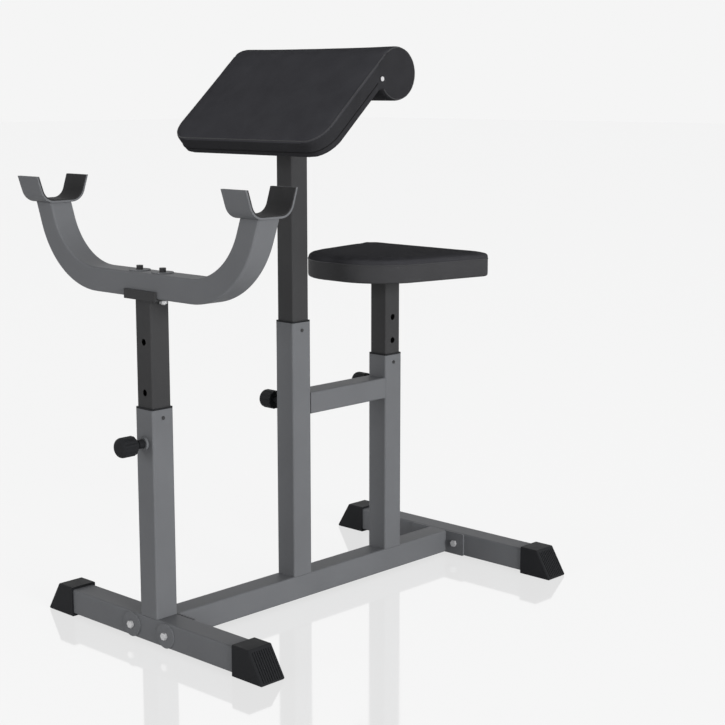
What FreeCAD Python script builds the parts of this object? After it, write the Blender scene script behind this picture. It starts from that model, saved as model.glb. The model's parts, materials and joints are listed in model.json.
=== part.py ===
import FreeCAD, Part
import os
import re
import Sketcher
from math import atan2, sin, tan
from FreeCAD import Placement, Rotation, Vector

# Preacher curl bench: a steel frame on two feet with three telescopic posts, which carry
# a bar rack, an arm pad and a seat. Millimetres, +Z up. The rack is at -Y and the seat at +Y.
# The origin is on the floor, under the middle of the bench at rest.

doc = FreeCAD.newDocument("preacher_curl_bench")
sheet = doc.addObject("Spreadsheet::Sheet", "Sizes")
pieces = doc.addObject("App::DocumentObjectGroup", "Pieces")

sizes = {
    # Base: square tube, and the plastic caps on the ends of both feet
    "base_length": 900,
    "base_width": 636,
    "tube_side": 50,
    "tube_wall": 2,
    "tube_corner": 4,
    "cap_length": 80,
    "cap_slant": 37,
    "cap_wall": 4,
    "cap_floor": 5,
    "cap_play": 0.2,
    "cap_edge": 3,
    "groove_width": 2.6,
    "groove_depth": 2,
    "groove_pitch": 5.5,
    "groove_margin": 5,
    "groove_count": 9,
    # Beam ends: welded plates, bolted to the feet
    "plate_width": 152,
    "plate_thickness": 4,
    "plate_corner": 3,
    "plate_bolt_spread": 100,
    "disc_diameter": 48,
    "disc_thickness": 3,
    # Bolts and nuts
    "bolt_diameter": 8,
    "bolt_play": 0.4,
    "bolt_head_width": 13,
    "bolt_head_height": 5.5,
    "bolt_tip": 2,
    "nut_height": 6.5,
    # Outer posts, with the brace between the rear two
    "sleeve_wall": 1.5,
    "rack_sleeve_top": 456,
    "pad_sleeve_top": 580,
    "seat_sleeve_top": 481,
    "pad_setback": 361,
    "seat_setback": 635,
    "brace_bottom": 389,
    "brace_height": 45,
    # Inner posts, with a plastic bush at the mouth of the sleeve and a glide at the lower end
    "post_side": 44,
    "post_wall": 2,
    "post_corner": 3,
    "bush_lip": 3,
    "bush_depth": 40,
    "bush_play": 0.15,
    "bush_screw_drop": 16,
    "bush_screw_diameter": 4,
    "bush_screw_play": 0.2,
    "bush_screw_head": 7,
    "bush_screw_head_height": 1.6,
    "glide_floor": 3,
    "glide_depth": 18,
    "glide_play": 0.2,
    # Lock pins: a welded collar, a barrel in it, and a pin with a knob that slides in the barrel
    "rack_lock_height": 392,
    "pad_lock_height": 411.5,
    "seat_lock_height": 412,
    "pin_diameter": 10,
    "pin_play": 0.3,
    "pin_gap": 0.5,
    "pin_seat": 20,
    "collar_diameter": 25,
    "collar_thickness": 5,
    "barrel_diameter": 17,
    "barrel_length": 17,
    "barrel_floor": 3,
    "barrel_play": 0.1,
    "hub_diameter": 13.4,
    "hub_play": 0.3,
    "hub_entry": 1,
    "knob_diameter": 38,
    "knob_length": 34,
    "knob_gap": 28,
    "knob_round": 9,
    "knob_edge": 1.5,
    "flute_diameter": 7,
    "flute_depth": 1.5,
    "flute_count": 12,
    # Holes that the pins lock into
    "hole_play": 1.5,
    "rack_hole_pitch": 95,
    "rack_hole_count": 3,
    "pad_hole_pitch": 40,
    "pad_hole_count": 9,
    "seat_hole_pitch": 50,
    "seat_hole_count": 4,
    "rack_tail": 60,
    "pad_tail": 30,
    "seat_tail": 50,
    # Bar rack: saddle, yoke and the two hooks with their liners
    "rack_width": 650,
    "saddle_height": 661,
    "saddle_width": 90,
    "saddle_thickness": 4,
    "saddle_lip": 18,
    "saddle_play": 0.3,
    "yoke_thickness": 46,
    "yoke_wall": 2,
    "yoke_corner": 4,
    "yoke_bend": 155,
    "yoke_lean": 20,
    "yoke_rise": 160,
    "yoke_bolt_spread": 66,
    "yoke_bolt_head_width": 12.5,
    "yoke_bolt_head_height": 7.5,
    "yoke_disc_diameter": 40,
    "yoke_disc_thickness": 2,
    "hook_length": 62,
    "hook_height": 51,
    "hook_top_width": 121,
    "hook_floor_width": 88,
    "hook_bend": 31,
    "hook_thickness": 3.5,
    "liner_thickness": 2.5,
    # Arm pad: mounting plate, board and cushion with a roll along its upper edge
    "pad_top": 1120,
    "pad_tilt": 42,
    "pad_width": 429,
    "pad_foot": 150.25,
    "pad_corner": 45,
    "pad_board_thickness": 6.5,
    "pad_board_head": 41.25,
    "pad_cushion_thickness": 32,
    "roll_radius": 50,
    "roll_edge": 12,
    "roll_rise": 94.75,
    "roll_drop": 8.5,
    "pad_plate_width": 120,
    "pad_plate_foot": 94.75,
    "pad_plate_head": 39.25,
    "vent_diameter": 9,
    "vent_bore": 5,
    "vent_depth": 4,
    "vent_flange": 1.2,
    "vent_back": 41,
    "vent_up": 23,
    # Seat: mounting plate, board and cushion
    "seat_underside": 650,
    "seat_nose": 158.5,
    "seat_nose_width": 249,
    "seat_nose_round": 117,
    "seat_tail_reach": 138.5,
    "seat_rear_width": 366,
    "seat_rear_round": 16,
    "seat_board_thickness": 12,
    "seat_board_inset": 1,
    "seat_cushion_thickness": 35,
    "seat_plate_width": 110,
    "seat_plate_length": 150,
    # Wood screws that hold both boards, and what the soft pieces share
    "board_plate_thickness": 4,
    "board_plate_corner": 8,
    "screw_margin": 14,
    "screw_diameter": 6,
    "screw_play": 0.3,
    "screw_bite": 6,
    "screw_head_width": 10,
    "screw_head_height": 4,
    "soft_gap": 0.3,
    "crown_inset": 64,
    "overrun": 20,
}

for row, (alias, size) in enumerate(sizes.items(), start=1):
    sheet.set("A%d" % row, alias)
    sheet.set("B%d" % row, str(size))
    sheet.setAlias("B%d" % row, alias)
doc.recompute()

# Places and sizes that follow from the ones above
follows = {
    "cap_depth": "tube_side + 2 * cap_wall",
    "cap_height": "tube_side + 2 * cap_floor",
    "knob_reach": "knob_gap + knob_length",
    "base_shift": "(knob_reach - nut_height - bolt_tip) / 2",
    "foot_spread": "base_length - cap_depth",
    "front_foot_y": "base_shift - foot_spread / 2",
    "rear_foot_y": "base_shift + foot_spread / 2",
    "rack_y": "front_foot_y",
    "pad_y": "rack_y + pad_setback",
    "seat_y": "rack_y + seat_setback",
    "tube_middle": "cap_floor + tube_side / 2",
    "tube_top": "cap_floor + tube_side",
    "foot_length": "base_width - 2 * cap_slant - 2 * cap_wall",
    "beam_length": "foot_spread - tube_side - 2 * plate_thickness",
    "bolt_hole": "bolt_diameter + bolt_play",
    "sleeve_inside": "tube_side - 2 * sleeve_wall",
    "bush_outside": "sleeve_inside - 2 * bush_play",
    "bush_inside": "post_side + 2 * bush_play",
    "glide_outside": "sleeve_inside - 2 * glide_play",
    "post_inside": "post_side - 2 * post_wall",
    "pin_hole": "pin_diameter + 2 * pin_play",
    "lock_hole": "pin_diameter + 2 * hole_play",
    "barrel_bore": "hub_diameter + 2 * hub_play",
    "pin_tip": "post_side / 2 + pin_gap - tube_side / 2",
    "yoke_bottom": "saddle_height + saddle_thickness",
    "yoke_middle": "yoke_bottom + yoke_thickness / 2",
    "yoke_top": "yoke_bottom + yoke_rise",
    "arm_rise": "yoke_rise - yoke_thickness / 2 - yoke_bend * (1 - sin(yoke_lean))",
    "hook_x": "(rack_width - hook_length) / 2",
    "yoke_flat": "hook_x - yoke_bend * cos(yoke_lean) - arm_rise * tan(yoke_lean)",
    "yoke_elbow": "yoke_flat + yoke_bend * tan(45 - yoke_lean / 2)",
    "hook_slope": "(hook_top_width - hook_floor_width) / 2 / hook_height",
    "pad_z": "pad_top - roll_radius - roll_rise * sin(pad_tilt) + roll_drop * cos(pad_tilt)",
    "roll_half": "pad_width / 2",
    "pad_cut_z": "pad_z - board_plate_thickness / cos(pad_tilt)",
    "pad_plate_length": "pad_plate_foot + pad_plate_head",
    "pad_plate_middle": "(pad_plate_head - pad_plate_foot) / 2",
    "seat_plate_z": "seat_underside - board_plate_thickness",
}


def spell(text):
    """Writes a formula with the sheet's cells in place of the names."""
    def word(match):
        name = match.group()
        if name in follows:
            return "(" + spell(follows[name]) + ")"
        return "Sizes." + name if name in sizes else name
    return re.sub(r"[a-z][a-z_]*", word, text)


def number(text):
    return float(pieces.evalExpression(spell(text)))


def bind(thing, setting, text):
    thing.setExpression(setting, spell(text))


def place(thing, x="0", y="0", z="0", axis=None, angle="0"):
    """Puts a piece at a place given as formulas, turned by an angle about an axis."""
    if axis is not None:
        thing.Placement = Placement(Vector(), Rotation(axis, number(angle)))
        bind(thing, "Placement.Rotation.Angle", angle)
    for name, text in (("x", x), ("y", y), ("z", z)):
        bind(thing, "Placement.Base." + name, text)
    return thing


X_AXIS, Y_AXIS, Z_AXIS = Vector(1, 0, 0), Vector(0, 1, 0), Vector(0, 0, 1)
nodes = []


def new_body(label):
    body = doc.addObject("PartDesign::Body", label)
    body.Label = label
    nodes.append(body)
    return body


def origin_of(body, role):
    return [item for item in body.Origin.OriginFeatures if item.Role == role][0]


def sketch_on(body, role, x="0", y="0", z="0"):
    """A sketch on one of the body's own planes, moved in that plane and along its normal."""
    sketch = body.newObject("Sketcher::SketchObject", body.Label + "_sketch")
    sketch.AttachmentSupport = [(origin_of(body, role), "")]
    sketch.MapMode = "FlatFace"
    for name, text in (("x", x), ("y", y), ("z", z)):
        if text != "0":
            bind(sketch, "AttachmentOffset.Base." + name, text)
    return sketch


def circle(sketch, diameter):
    """A circle about the sketch's own origin."""
    edge = sketch.addGeometry(Part.Circle(Vector(), Z_AXIS, number(diameter) / 2))
    sketch.addConstraint(Sketcher.Constraint("Coincident", edge, 3, -1, 1))
    index = sketch.addConstraint(Sketcher.Constraint("Diameter", edge, number(diameter)))
    bind(sketch, "Constraints[%d]" % index, diameter)
    return sketch


def outline(sketch, corners, closed=True):
    """Straight edges through corners given as (x, y, radius) formulas, with arcs at the round ones."""
    spots = [Vector(number(x), number(y), 0) for x, y, radius in corners]
    count = len(spots)
    rounds = []
    for index, (x, y, radius) in enumerate(corners):
        spot = spots[index]
        if radius == "0":
            rounds.append((spot, spot, None))
            continue
        back = (spots[index - 1] - spot).normalize()
        on = (spots[(index + 1) % count] - spot).normalize()
        half = back.getAngle(on) / 2
        reach = number(radius) / tan(half)
        centre = spot + (back + on).normalize() * (number(radius) / sin(half))
        rounds.append((spot + back * reach, spot + on * reach, centre))
    sides = range(count if closed else count - 1)
    lines = [sketch.addGeometry(Part.LineSegment(rounds[i][1], rounds[(i + 1) % count][0])) for i in sides]
    rules = []
    bound = []

    def hold(kind, *where):
        rules.append(Sketcher.Constraint(kind, *where))

    def measure(kind, text, *where):
        bound.append((len(rules), text))
        rules.append(Sketcher.Constraint(kind, *where, number(text)))

    def pin_down(item, end, x, y):
        for kind, line, text in (("DistanceX", -2, x), ("DistanceY", -1, y)):
            if text == "0":
                hold("PointOnObject", item, end, line)
            else:
                measure(kind, text, -1, 1, item, end)

    for index, (x, y, radius) in enumerate(corners):
        first, last, centre = rounds[index]
        after = lines[index] if index < len(lines) else None
        before = lines[index - 1] if closed or index > 0 else None
        if centre is None:
            if after is not None and before is not None:
                hold("Coincident", before, 2, after, 1)
            if after is not None:
                pin_down(after, 1, x, y)
            else:
                pin_down(before, 2, x, y)
            continue
        arm_in, arm_out = first - centre, last - centre
        turns_left = arm_in.cross(arm_out).z > 0
        angles = [atan2(arm.y, arm.x) for arm in ((arm_in, arm_out) if turns_left else (arm_out, arm_in))]
        ring = Part.Circle(centre, Z_AXIS, number(radius))
        arc = sketch.addGeometry(Part.ArcOfCircle(ring, angles[0], angles[1]))
        spot = sketch.addGeometry(Part.Point(spots[index]), True)
        hold("Tangent", before, 2, arc, 1 if turns_left else 2)
        hold("Tangent", arc, 2 if turns_left else 1, after, 1)
        measure("Radius", radius, arc)
        hold("PointOnObject", spot, 1, before)
        hold("PointOnObject", spot, 1, after)
        pin_down(spot, 1, x, y)
    already = len(sketch.Constraints)
    sketch.addConstraint(rules)
    for index, text in bound:
        bind(sketch, "Constraints[%d]" % (already + index), text)
    return sketch


def rectangle(sketch, width, height, radius="0"):
    """A rectangle about the sketch's own origin."""
    half_x, half_y = "(%s) / 2" % width, "(%s) / 2" % height
    return outline(sketch, [("-" + half_x, "-" + half_y, radius), (half_x, "-" + half_y, radius),
                            (half_x, half_y, radius), ("-" + half_x, half_y, radius)])


def feature(body, kind, sketch, length, symmetric, reverse):
    item = body.newObject("PartDesign::" + kind, body.Label + "_" + kind.lower())
    item.Profile = sketch
    bind(item, "Length", length)
    if symmetric:
        item.SideType = "Symmetric"
    item.Reversed = reverse
    return item


def raise_up(body, sketch, length, symmetric=False, reverse=False):
    return feature(body, "Pad", sketch, length, symmetric, reverse)


def cut_away(body, sketch, length, symmetric=False, reverse=False):
    """A pocket, with a check that it takes material away."""
    doc.recompute()
    before = body.Shape.Volume
    item = feature(body, "Pocket", sketch, length, symmetric, reverse)
    doc.recompute()
    if body.Shape.Volume >= before:
        raise RuntimeError("nothing was cut from " + body.Label)
    return item


def repeat(body, item, role, pitch, count, reverse=False):
    """Repeats a feature along one of the body's own axes."""
    pattern = body.newObject("PartDesign::LinearPattern", body.Label + "_row")
    pattern.Originals = [item]
    pattern.Direction = (origin_of(body, role), [""])
    bind(pattern, "Length", "%s * (%s - 1)" % (pitch, count))
    bind(pattern, "Occurrences", count)
    pattern.Reversed = reverse
    body.Tip = pattern
    return pattern


def mirror(body, items, role):
    """Mirrors features in one of the body's own planes, or the whole body when none are given."""
    copy = body.newObject("PartDesign::Mirrored", body.Label + "_mirror")
    if items:
        copy.Originals = items
    else:
        copy.TransformMode = "Whole shape"
    copy.MirrorPlane = (origin_of(body, role), [""])
    body.Tip = copy
    return copy


def drill(body, role, diameter, x="0", y="0", z="0", depth=None, reverse=False):
    """A round hole, through everything on both sides of the plane unless a depth is given."""
    sketch = circle(sketch_on(body, role, x, y, z), diameter)
    if depth is None:
        return cut_away(body, sketch, "2 * (tube_side + overrun)", symmetric=True)
    return cut_away(body, sketch, depth, reverse=reverse)


def round_off(body, radius, wanted):
    """Rounds the edges that a test picks out."""
    doc.recompute()
    tip = body.Tip
    names = ["Edge%d" % (i + 1) for i, edge in enumerate(tip.Shape.Edges) if wanted(edge)]
    item = body.newObject("PartDesign::Fillet", body.Label + "_fillet")
    item.Base = (tip, names)
    bind(item, "Radius", radius)
    return item


def square_tube(label, role, length, side, wall, corner, height=None):
    """A length of square or oblong tube, centred on its axis and starting at the plane."""
    body = new_body(label)
    sketch = sketch_on(body, role)
    height = height or side
    rectangle(sketch, side, height, corner)
    rectangle(sketch, "%s - 2 * %s" % (side, wall), "%s - 2 * %s" % (height, wall),
              "%s - %s" % (corner, wall))
    raise_up(body, sketch, length)
    return body


# Feet: a tube across the bench at each end, with two bolt holes
def foot(label, y):
    body = square_tube(label, "YZ_Plane", "foot_length", "tube_side", "tube_wall", "tube_corner")
    for side in ("-", ""):
        drill(body, "XZ_Plane", "bolt_hole", x="foot_length / 2 + (%splate_bolt_spread / 2)" % side)
    return place(body, "-foot_length / 2", y, "tube_middle")


foot("front_foot_tube", "front_foot_y")
foot("rear_foot_tube", "rear_foot_y")


# Foot caps: a slanting block over the end of the tube, with upright grooves in its outer end
def foot_cap(label, y, turn):
    body = new_body(label)
    block = outline(sketch_on(body, "XZ_Plane"), [
        ("0", "0", "0"), ("cap_length", "0", "cap_edge"),
        ("cap_length - cap_slant", "cap_height", "cap_edge"), ("0", "cap_height", "0")])
    raise_up(body, block, "cap_depth", symmetric=True)
    round_off(body, "cap_edge", lambda edge: edge.BoundBox.YLength < number("cap_edge") / 2
              and edge.BoundBox.ZLength < number("cap_edge") / 2)
    socket = sketch_on(body, "YZ_Plane", y="cap_height / 2")
    rectangle(socket, "tube_side + 2 * cap_play", "tube_side + 2 * cap_play", "tube_corner")
    cut_away(body, socket, "cap_length - cap_slant - cap_wall", reverse=True)
    slope = "cap_slant / cap_height"
    low, high = "groove_margin", "(cap_height - groove_margin)"
    groove = outline(sketch_on(body, "XZ_Plane", z="groove_pitch * (groove_count - 1) / 2"), [
        ("cap_length - %s * %s - groove_depth" % (slope, low), low, "0"),
        ("cap_length - %s * %s + groove_depth" % (slope, low), low, "0"),
        ("cap_length - %s * %s + groove_depth" % (slope, high), high, "0"),
        ("cap_length - %s * %s - groove_depth" % (slope, high), high, "0")])
    first = cut_away(body, groove, "groove_width", symmetric=True)
    repeat(body, first, "Y_Axis", "groove_pitch", "groove_count")
    way = "-" if turn != "0" else ""
    return place(body, way + "(base_width / 2 - cap_length)", y, "0", Z_AXIS, turn)


for end, y in (("front", "front_foot_y"), ("rear", "rear_foot_y")):
    foot_cap(end + "_right_foot_cap", y, "0")
    foot_cap(end + "_left_foot_cap", y, "180")

# Beam along the bench, with a plate on each end
beam = square_tube("main_beam", "XZ_Plane", "beam_length", "tube_side", "tube_wall", "tube_corner")
place(beam, "0", "rear_foot_y - tube_side / 2 - plate_thickness", "tube_middle")


def beam_plate(label, y):
    body = new_body(label)
    face = rectangle(sketch_on(body, "XZ_Plane"), "plate_width", "tube_side", "plate_corner")
    raise_up(body, face, "plate_thickness", symmetric=True)
    for side in ("-", ""):
        drill(body, "XZ_Plane", "bolt_hole", x="%splate_bolt_spread / 2" % side)
    return place(body, "0", y, "tube_middle")


beam_plate("beam_front_plate", "front_foot_y + tube_side / 2 + plate_thickness / 2")
beam_plate("beam_rear_plate", "rear_foot_y - tube_side / 2 - plate_thickness / 2")


# Bolts, nuts and discs: the bearing face is at the origin and the head is on its +Z side
def hexagon(name, width, height):
    head = doc.addObject("Part::Prism", name)
    head.Polygon = 6
    bind(head, "Circumradius", "%s / 2 / cos(30)" % width)
    bind(head, "Height", height)
    return head


def cylinder(name, diameter, height, z="0"):
    drum = doc.addObject("Part::Cylinder", name)
    bind(drum, "Radius", "(%s) / 2" % diameter)
    bind(drum, "Height", height)
    bind(drum, "Placement.Base.z", z)
    return drum


def joined(kind, name, base, tool):
    whole = doc.addObject("Part::" + kind, name)
    whole.Base, whole.Tool = base, tool
    return whole


def bolt(name, length):
    shank = cylinder(name + "_shank", "bolt_diameter", length, "-(%s)" % length)
    return joined("Fuse", name, hexagon(name + "_head", "bolt_head_width", "bolt_head_height"), shank)


def nut(name):
    body = hexagon(name + "_block", "bolt_head_width", "nut_height")
    return joined("Cut", name, body, cylinder(name + "_bore", "bolt_diameter", "nut_height"))


def disc(name, diameter="disc_diameter", thickness="disc_thickness"):
    body = cylinder(name + "_blank", diameter, thickness)
    return joined("Cut", name, body, cylinder(name + "_bore", "bolt_hole", thickness))


def wood_screw(name):
    length = "(board_plate_thickness + screw_bite)"
    shank = cylinder(name + "_shank", "screw_diameter", length, "-" + length)
    return joined("Fuse", name, cylinder(name + "_head", "screw_head_width", "screw_head_height"), shank)


def group(label, members):
    """Identical pieces, kept as separate solids in one node."""
    bundle = doc.addObject("Part::Compound", label)
    bundle.Label = label
    bundle.Links = members
    nodes.append(bundle)
    return bundle


SIDES = (("left", "-"), ("right", ""))


def beam_bolts(end, make, y, faces_front):
    angle = "90" if faces_front else "-90"
    return [place(make("%s_%s" % (end, side)), sign + "plate_bolt_spread / 2", y, "tube_middle",
                  X_AXIS, angle)
            for side, sign in SIDES]


through_foot = "(tube_side + plate_thickness)"
front_face, rear_face = "front_foot_y - tube_side / 2", "rear_foot_y + tube_side / 2"
group("front_bolt_discs", beam_bolts("front_disc", disc, front_face, True))
group("front_bolts", beam_bolts(
    "front_bolt", lambda name: bolt(name, through_foot + " + disc_thickness + nut_height + bolt_tip"),
    front_face + " - disc_thickness", True))
group("front_nuts", beam_bolts("front_nut", nut, "front_foot_y + tube_side / 2 + plate_thickness", False))
group("rear_bolts", beam_bolts(
    "rear_bolt", lambda name: bolt(name, through_foot + " + nut_height + bolt_tip"),
    "rear_foot_y - tube_side / 2 - plate_thickness", True))
group("rear_nuts", beam_bolts("rear_nut", nut, rear_face, False))


# Outer posts: a sleeve for each post, with a pin hole at its lock and a small hole for the bush screw
POSTS = (("rack", "rack_y"), ("pad", "pad_y"), ("seat", "seat_y"))


def lock_side(name):
    """The rack's lock is on the front of its post, and the others are on the left of theirs."""
    return "XZ_Plane" if name == "rack" else "YZ_Plane"


def sleeve(name, y):
    top, lock = name + "_sleeve_top", name + "_lock_height"
    body = square_tube(name + "_post_sleeve", "XY_Plane", "%s - tube_top" % top,
                       "tube_side", "sleeve_wall", "tube_corner")
    drill(body, lock_side(name), "pin_hole", y="%s - tube_top" % lock, depth="tube_side",
          reverse=name == "rack")
    drill(body, "YZ_Plane", "bush_screw_diameter + 2 * bush_screw_play",
          y="%s - tube_top - bush_screw_drop" % top, depth="tube_side", reverse=True)
    return place(body, "0", y, "tube_top")


for name, y in POSTS:
    sleeve(name, y)

brace = square_tube("post_brace", "XZ_Plane", "seat_y - pad_y - tube_side", "tube_side", "tube_wall",
                    "tube_corner", "brace_height")
place(brace, "0", "seat_y - tube_side / 2", "brace_bottom + brace_height / 2")


# Bushes: a lip on the sleeve's mouth and a thin skirt that guides the inner post
def bush(name, y):
    body = new_body(name + "_post_bush")
    lip = sketch_on(body, "XY_Plane")
    rectangle(lip, "tube_side", "tube_side", "tube_corner")
    raise_up(body, lip, "bush_lip")
    skirt = sketch_on(body, "XY_Plane")
    rectangle(skirt, "bush_outside", "bush_outside", "tube_corner - sleeve_wall")
    raise_up(body, skirt, "bush_depth", reverse=True)
    mouth = sketch_on(body, "XY_Plane")
    rectangle(mouth, "bush_inside", "bush_inside", "post_corner")
    cut_away(body, mouth, "2 * (bush_depth + bush_lip)", symmetric=True)
    drill(body, "YZ_Plane", "bush_screw_diameter", y="-bush_screw_drop", depth="tube_side", reverse=True)
    return place(body, "0", y, name + "_sleeve_top")


def bush_screw(name, y):
    length = "(sleeve_wall + bush_play + (bush_outside - bush_inside) / 2)"
    head = cylinder(name + "_screw_head", "bush_screw_head", "bush_screw_head_height")
    shank = cylinder(name + "_screw_shank", "bush_screw_diameter", length, "-" + length)
    whole = joined("Fuse", name + "_screw", head, shank)
    return place(whole, "tube_side / 2", y, name + "_sleeve_top - bush_screw_drop", Y_AXIS, "90")


for name, y in POSTS:
    bush(name, y)
group("bush_screws", [bush_screw(name, y) for name, y in POSTS])


# Glides: a plug in the lower end of each inner post, with a flange that slides in the sleeve
def glide(name, y):
    body = new_body(name + "_post_glide")
    flange = sketch_on(body, "XY_Plane")
    rectangle(flange, "glide_outside", "glide_outside", "tube_corner - sleeve_wall")
    raise_up(body, flange, "glide_floor", reverse=True)
    plug = sketch_on(body, "XY_Plane")
    plug_side = "post_inside - 2 * glide_play"
    rectangle(plug, plug_side, plug_side, "post_corner - post_wall")
    raise_up(body, plug, "glide_depth")
    return place(body, "0", y, "%s_lock_height - %s_tail" % (name, name))


# Inner posts: a tube with a row of lock holes
def inner_post(name, y, top, through):
    foot_z = "(%s_lock_height - %s_tail)" % (name, name)
    body = square_tube(name + "_inner_post", "XY_Plane", "%s - %s" % (top, foot_z),
                       "post_side", "post_wall", "post_corner")
    spot = name + "_tail"
    if through:
        first = drill(body, lock_side(name), "lock_hole", y=spot)
    else:
        first = drill(body, lock_side(name), "lock_hole", y=spot, depth="post_side", reverse=name == "rack")
    repeat(body, first, "Z_Axis", name + "_hole_pitch", name + "_hole_count")
    return place(body, "0", y, foot_z)


inner_post("rack", "rack_y", "saddle_height", False)
inner_post("seat", "seat_y", "seat_plate_z", True)
pad_post = inner_post("pad", "pad_y", "pad_cut_z + post_side * tan(pad_tilt)", False)
cut_z = "(pad_cut_z - pad_lock_height + pad_tail)"
slant = sketch_on(pad_post, "YZ_Plane")
outline(slant, [("-post_side", cut_z + " - post_side * tan(pad_tilt)", "0"),
                ("post_side", cut_z + " + post_side * tan(pad_tilt)", "0"),
                ("-post_side", cut_z + " + post_side * tan(pad_tilt)", "0")])
cut_away(pad_post, slant, "2 * tube_side", symmetric=True)
for name, y in POSTS:
    glide(name, y)


# Lock pins, drawn along +Z with the sleeve's face at the origin
def turned(label, corners):
    """A piece turned about its own Z axis from a half profile of (radius, height, round) corners."""
    body = new_body(label)
    profile = outline(sketch_on(body, "XZ_Plane"), corners)
    item = body.newObject("PartDesign::Revolution", label + "_turning")
    item.Profile = profile
    item.ReferenceAxis = (origin_of(body, "Z_Axis"), [""])
    item.Angle = 360
    return body


def ring_corners(inner, outer, low, high):
    return [(inner, low, "0"), (outer, low, "0"), (outer, high, "0"), (inner, high, "0")]


def lock(name, y):
    def mount(body):
        height = name + "_lock_height"
        if name == "rack":
            return place(body, "0", y + " - tube_side / 2", height, X_AXIS, "90")
        return place(body, "-tube_side / 2", y, height, Y_AXIS, "-90")

    mount(turned(name + "_lock_collar", ring_corners(
        "barrel_diameter / 2 + barrel_play", "collar_diameter / 2", "0", "collar_thickness")))
    mount(turned(name + "_lock_barrel", [
        ("pin_hole / 2", "0", "0"), ("barrel_diameter / 2", "0", "0"),
        ("barrel_diameter / 2", "barrel_length", "0"), ("barrel_bore / 2", "barrel_length", "0"),
        ("barrel_bore / 2", "barrel_floor", "0"), ("pin_hole / 2", "barrel_floor", "0")]))
    mount(turned(name + "_lock_pin", [
        ("0", "pin_tip", "0"), ("pin_diameter / 2", "pin_tip", "0"),
        ("pin_diameter / 2", "knob_gap + pin_seat", "0"), ("0", "knob_gap + pin_seat", "0")]))
    hub_end = "barrel_length - hub_entry"
    knob = turned(name + "_lock_knob", [
        ("pin_diameter / 2", hub_end, "0"), ("hub_diameter / 2", hub_end, "0"),
        ("hub_diameter / 2", "knob_gap", "0"), ("knob_diameter / 2", "knob_gap", "knob_edge"),
        ("knob_diameter / 2", "knob_reach", "knob_round"), ("0", "knob_reach", "0"),
        ("0", "knob_gap + pin_seat", "0"), ("pin_diameter / 2", "knob_gap + pin_seat", "0")])
    flute = sketch_on(knob, "XY_Plane", x="knob_diameter / 2 + flute_diameter / 2 - flute_depth",
                      z="knob_reach")
    circle(flute, "flute_diameter")
    first = cut_away(knob, flute, "knob_length + knob_edge")
    ring = knob.newObject("PartDesign::PolarPattern", knob.Label + "_flutes")
    ring.Originals = [first]
    ring.Axis = (origin_of(knob, "Z_Axis"), [""])
    ring.Angle = 360
    bind(ring, "Occurrences", "flute_count")
    knob.Tip = ring
    mount(knob)


for name, y in POSTS:
    lock(name, y)

# Saddle: a shallow channel on top of the rack's post, which the yoke sits in
saddle = new_body("yoke_saddle")
channel_half = "(tube_side / 2 + saddle_play)"
outer_half = "(tube_side / 2 + saddle_play + saddle_thickness)"
channel = sketch_on(saddle, "YZ_Plane")
outline(channel, [
    ("-" + outer_half, "0", "0"), (outer_half, "0", "0"), (outer_half, "saddle_lip", "0"),
    (channel_half, "saddle_lip", "0"), (channel_half, "saddle_thickness", "0"),
    ("-" + channel_half, "saddle_thickness", "0"), ("-" + channel_half, "saddle_lip", "0"),
    ("-" + outer_half, "saddle_lip", "0")])
raise_up(saddle, channel, "saddle_width", symmetric=True)
for side, sign in SIDES:
    drill(saddle, "XY_Plane", "bolt_hole", x=sign + "yoke_bolt_spread / 2")
place(saddle, "0", "rack_y", "saddle_height")

# Yoke: one tube bent up at both ends and cut level under the hooks
yoke = new_body("yoke")
section = sketch_on(yoke, "YZ_Plane")
rectangle(section, "tube_side", "yoke_thickness", "yoke_corner")
rectangle(section, "tube_side - 2 * yoke_wall", "yoke_thickness - 2 * yoke_wall", "yoke_corner - yoke_wall")
arm_end = "(yoke_rise - yoke_thickness / 2 + yoke_thickness)"
path = sketch_on(yoke, "XZ_Plane")
outline(path, [("0", "0", "0"), ("yoke_elbow", "0", "yoke_bend"),
               ("yoke_elbow + %s * tan(yoke_lean)" % arm_end, arm_end, "0")], closed=False)
sweep = yoke.newObject("PartDesign::AdditivePipe", "yoke_sweep")
sweep.Profile = section
sweep.Spine = path
level = sketch_on(yoke, "XY_Plane", x="hook_x", z="yoke_rise - yoke_thickness / 2")
rectangle(level, "4 * yoke_thickness", "2 * tube_side")
cut_away(yoke, level, "2 * yoke_thickness", reverse=True)
mirror(yoke, [], "YZ_Plane")
for side, sign in SIDES:
    drill(yoke, "XY_Plane", "bolt_hole", x=sign + "yoke_bolt_spread / 2")
place(yoke, "0", "rack_y", "yoke_middle")


def yoke_fasteners(make, z, angle):
    return [place(make("yoke_%s" % side), sign + "yoke_bolt_spread / 2", "rack_y", z, X_AXIS, angle)
            for side, sign in SIDES]


def yoke_bolt(name):
    length = "(yoke_disc_thickness + yoke_thickness + saddle_thickness + nut_height + bolt_tip)"
    shank = cylinder(name + "_bolt_shank", "bolt_diameter", length, "-" + length)
    head = cylinder(name + "_bolt_head", "yoke_bolt_head_width", "yoke_bolt_head_height")
    return joined("Fuse", name + "_bolt", head, shank)


def yoke_disc(name):
    return disc(name + "_disc", "yoke_disc_diameter", "yoke_disc_thickness")


yoke_flat_top = "yoke_bottom + yoke_thickness"
group("yoke_discs", yoke_fasteners(yoke_disc, yoke_flat_top, "0"))
group("yoke_bolts", yoke_fasteners(yoke_bolt, yoke_flat_top + " + yoke_disc_thickness", "0"))
group("yoke_nuts", yoke_fasteners(lambda name: nut(name + "_nut"), "saddle_height", "180"))


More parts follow.
